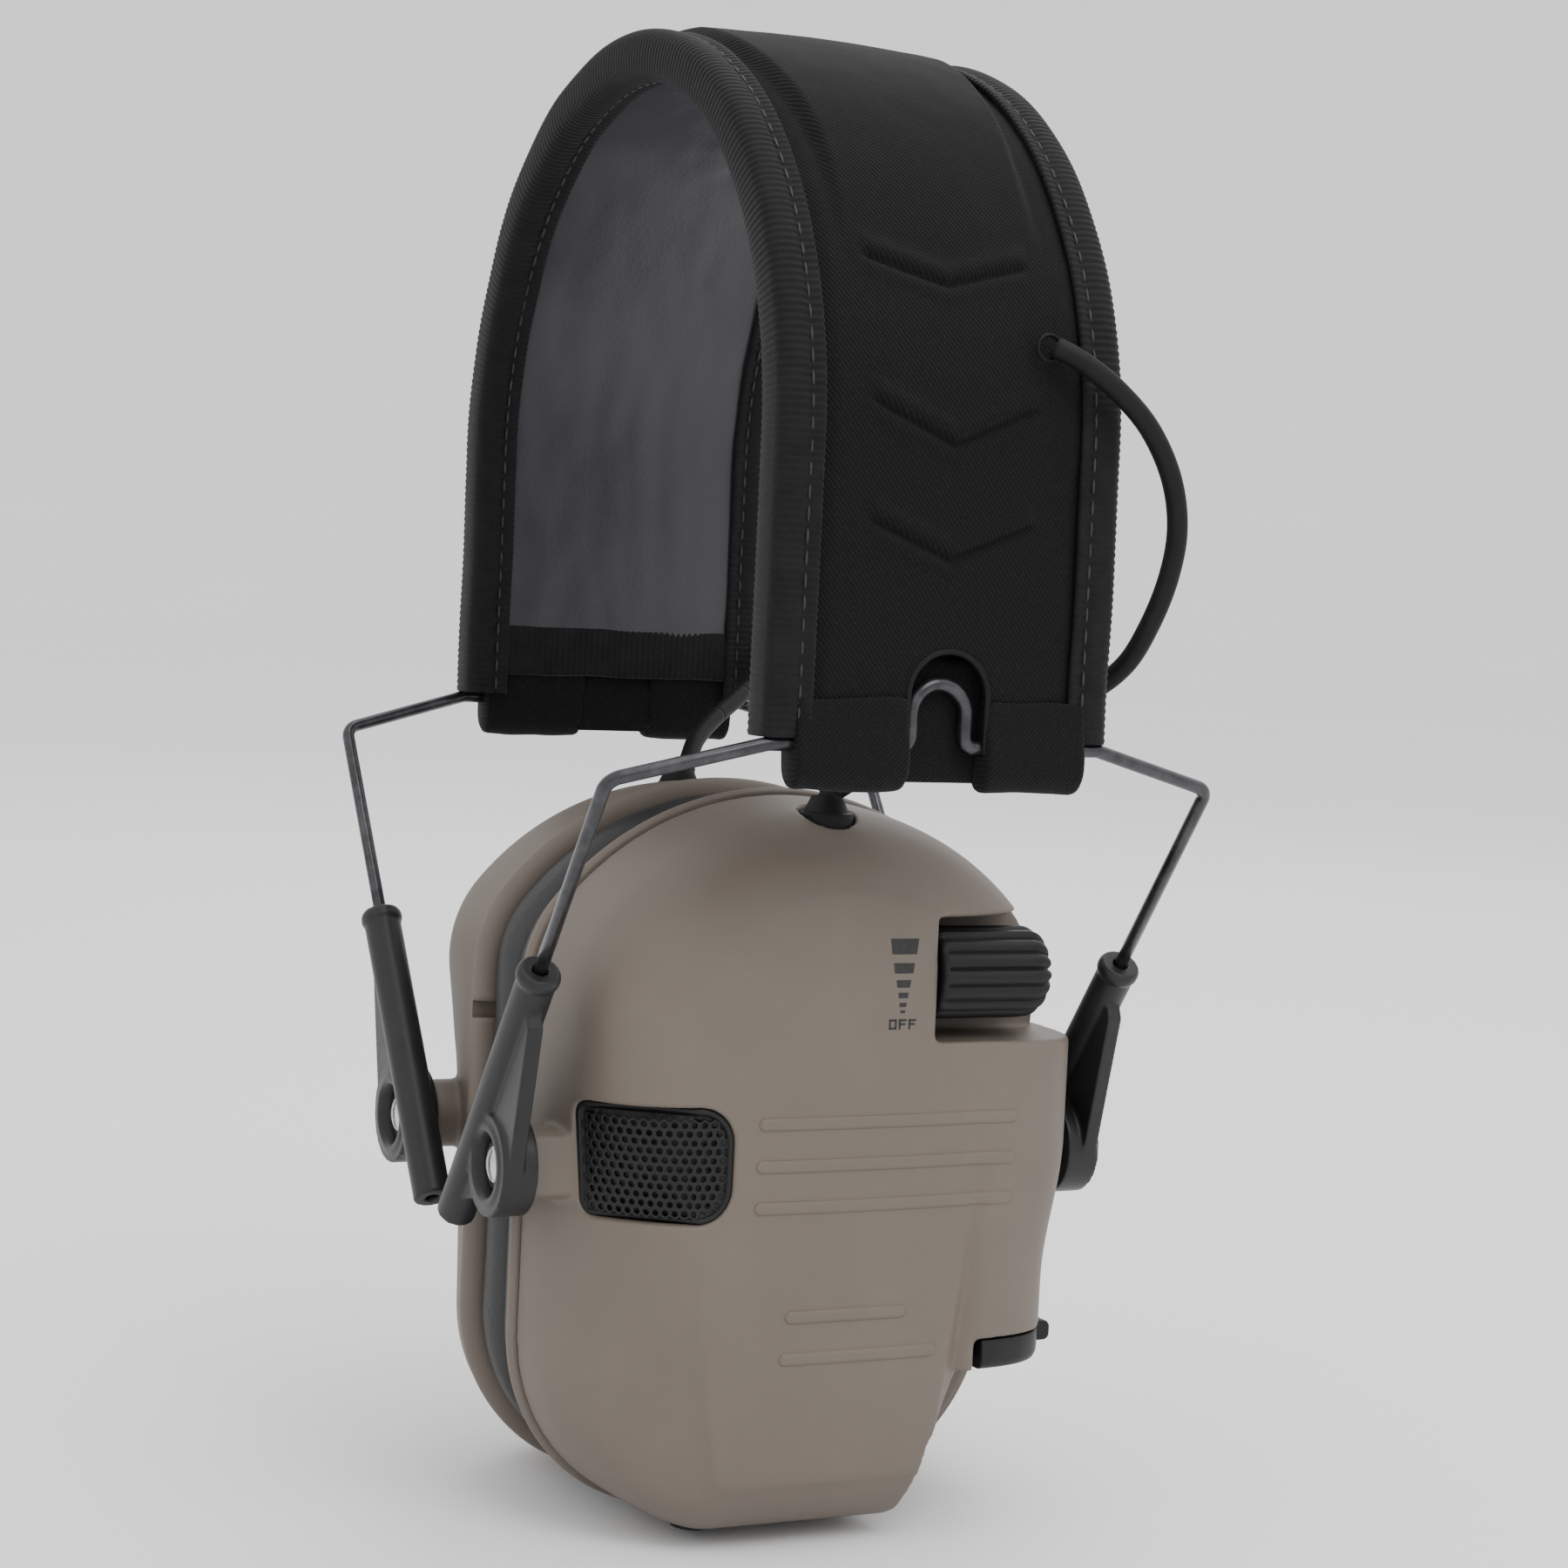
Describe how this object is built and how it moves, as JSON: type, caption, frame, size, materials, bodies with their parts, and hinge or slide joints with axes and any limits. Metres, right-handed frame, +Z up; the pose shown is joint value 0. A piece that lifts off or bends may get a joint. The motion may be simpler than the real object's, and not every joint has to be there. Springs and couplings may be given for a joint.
{
  "type": "earmuff hearing protector",
  "caption": "Folding electronic earmuff with a padded fabric headband, wire bails, sliding sleeves and two tapered ear cups.",
  "frame": {"origin": "centre of the headband's inner surface at the crown, where it rests on the head", "axes": "+X towards the wearer's left ear, +Y to the back of the head, +Z up"},
  "size_m": [0.1326, 0.1006, 0.2231],
  "materials": {
    "black_cloth": "matt twill",
    "foam": "open foam",
    "spring_steel": "satin",
    "lining": "satin",
    "black_wire": "gloss",
    "cable_rubber": "matt",
    "dark_plastic": "satin",
    "steel": "satin",
    "tan_shell": "soft-touch matt",
    "cushion": "satin",
    "board": "satin",
    "mesh": "satin",
    "knob_plastic": "matt",
    "cell_wrap": "gloss"
  },
  "bodies": {
    "headband": {"outer_cover": "black_cloth", "crown_pad": "black_cloth", "foam_pad": "foam", "spring_band": "spring_steel", "lining": "lining", "front_binding": "black_cloth", "rear_binding": "black_cloth", "hem_tape_left": "black_cloth", "hem_tape_right": "black_cloth", "wire_tunnel_left": "black_cloth", "wire_tunnel_right": "black_cloth", "bail_kink_left": "black_wire", "bail_kink_right": "black_wire", "band_cable": "cable_rubber", "cable_left": "cable_rubber", "cable_right": "cable_rubber"},
    "bail_left": {"wire_bail_left": "black_wire"},
    "front_slide_left": {"front_sleeve_left": "dark_plastic"},
    "rear_slide_left": {"rear_sleeve_left": "dark_plastic"},
    "cup_left": {"cup_shell_left": "tan_shell", "rim_ring_left": "tan_shell", "ear_cushion_left": "cushion", "foam_liner_left": "foam", "speaker_baffle_left": "dark_plastic", "speaker_left": "dark_plastic", "circuit_board_left": "board", "mic_bezel_left": "dark_plastic", "mic_mesh_left": "mesh", "mic_capsule_left": "steel", "cable_grommet_left": "cable_rubber", "shell_screws_left": "steel", "pivot_pins_left": "steel", "potentiometer": "steel", "door_pin": "steel", "battery_cells": "cell_wrap", "battery_contacts": "steel", "audio_jack": "knob_plastic"},
    "bail_right": {"wire_bail_right": "black_wire"},
    "front_slide_right": {"front_sleeve_right": "dark_plastic"},
    "rear_slide_right": {"rear_sleeve_right": "dark_plastic"},
    "cup_right": {"cup_shell_right": "tan_shell", "rim_ring_right": "tan_shell", "ear_cushion_right": "cushion", "foam_liner_right": "foam", "speaker_baffle_right": "dark_plastic", "speaker_right": "dark_plastic", "circuit_board_right": "board", "mic_bezel_right": "dark_plastic", "mic_mesh_right": "mesh", "mic_capsule_right": "steel", "cable_grommet_right": "cable_rubber", "shell_screws_right": "steel", "pivot_pins_right": "steel"},
    "knob": {"volume_knob": "knob_plastic"},
    "door": {"battery_door": "knob_plastic"}
  },
  "joints": [
    {"name": "bail_swing_left", "type": "hinge", "parent": "headband", "child": "bail_left", "pos_m": [0.0599, 0, -0.0961], "axis": [0, -1, 0], "range_deg": [0, 60], "stiffness_Nm_per_rad": 0.7, "springref_deg": -14.32, "deforming": ["cable_left"]},
    {"name": "height_slide_left", "type": "slide", "parent": "bail_left", "child": "front_slide_left", "axis": [0.5948, 0, 0.8039], "range_m": [0, 0.012], "deforming": ["cable_left"]},
    {"name": "rear_height_slide_left", "type": "slide", "parent": "bail_left", "child": "rear_slide_left", "axis": [0.5948, 0, 0.8039], "range_m": [0, 0.012]},
    {"name": "cup_tilt_left", "type": "hinge", "parent": "front_slide_left", "child": "cup_left", "pos_m": [0.02125, 0, -0.15993], "axis": [0, -1, 0], "range_deg": [-60, 0], "deforming": ["cable_left"]},
    {"name": "bail_swing_right", "type": "hinge", "parent": "headband", "child": "bail_right", "pos_m": [-0.0599, 0, -0.0961], "axis": [0, 1, 0], "range_deg": [0, 60], "stiffness_Nm_per_rad": 0.7, "springref_deg": -14.32, "deforming": ["cable_right"]},
    {"name": "height_slide_right", "type": "slide", "parent": "bail_right", "child": "front_slide_right", "axis": [-0.5948, 0, 0.8039], "range_m": [0, 0.012], "deforming": ["cable_right"]},
    {"name": "rear_height_slide_right", "type": "slide", "parent": "bail_right", "child": "rear_slide_right", "axis": [-0.5948, 0, 0.8039], "range_m": [0, 0.012]},
    {"name": "cup_tilt_right", "type": "hinge", "parent": "front_slide_right", "child": "cup_right", "pos_m": [-0.02125, 0, -0.15993], "axis": [0, 1, 0], "range_deg": [-60, 0], "deforming": ["cable_right"]},
    {"name": "volume_turn", "type": "hinge", "parent": "cup_left", "child": "knob", "pos_m": [0.0314, 0.0247, -0.13133], "axis": [0, 1, 0], "range_deg": [0, 270]},
    {"name": "battery_door_swing", "type": "hinge", "parent": "cup_left", "child": "door", "pos_m": [0.0235, 0.0244, -0.19033], "axis": [-1, 0, 0], "range_deg": [0, 90]}
  ],
  "couplings": [
    {"joint": "rear_height_slide_left", "follows": "height_slide_left", "ratio": 1},
    {"joint": "cup_tilt_left", "follows": "bail_swing_left", "ratio": -1},
    {"joint": "rear_height_slide_right", "follows": "height_slide_right", "ratio": 1},
    {"joint": "cup_tilt_right", "follows": "bail_swing_right", "ratio": -1}
  ]
}
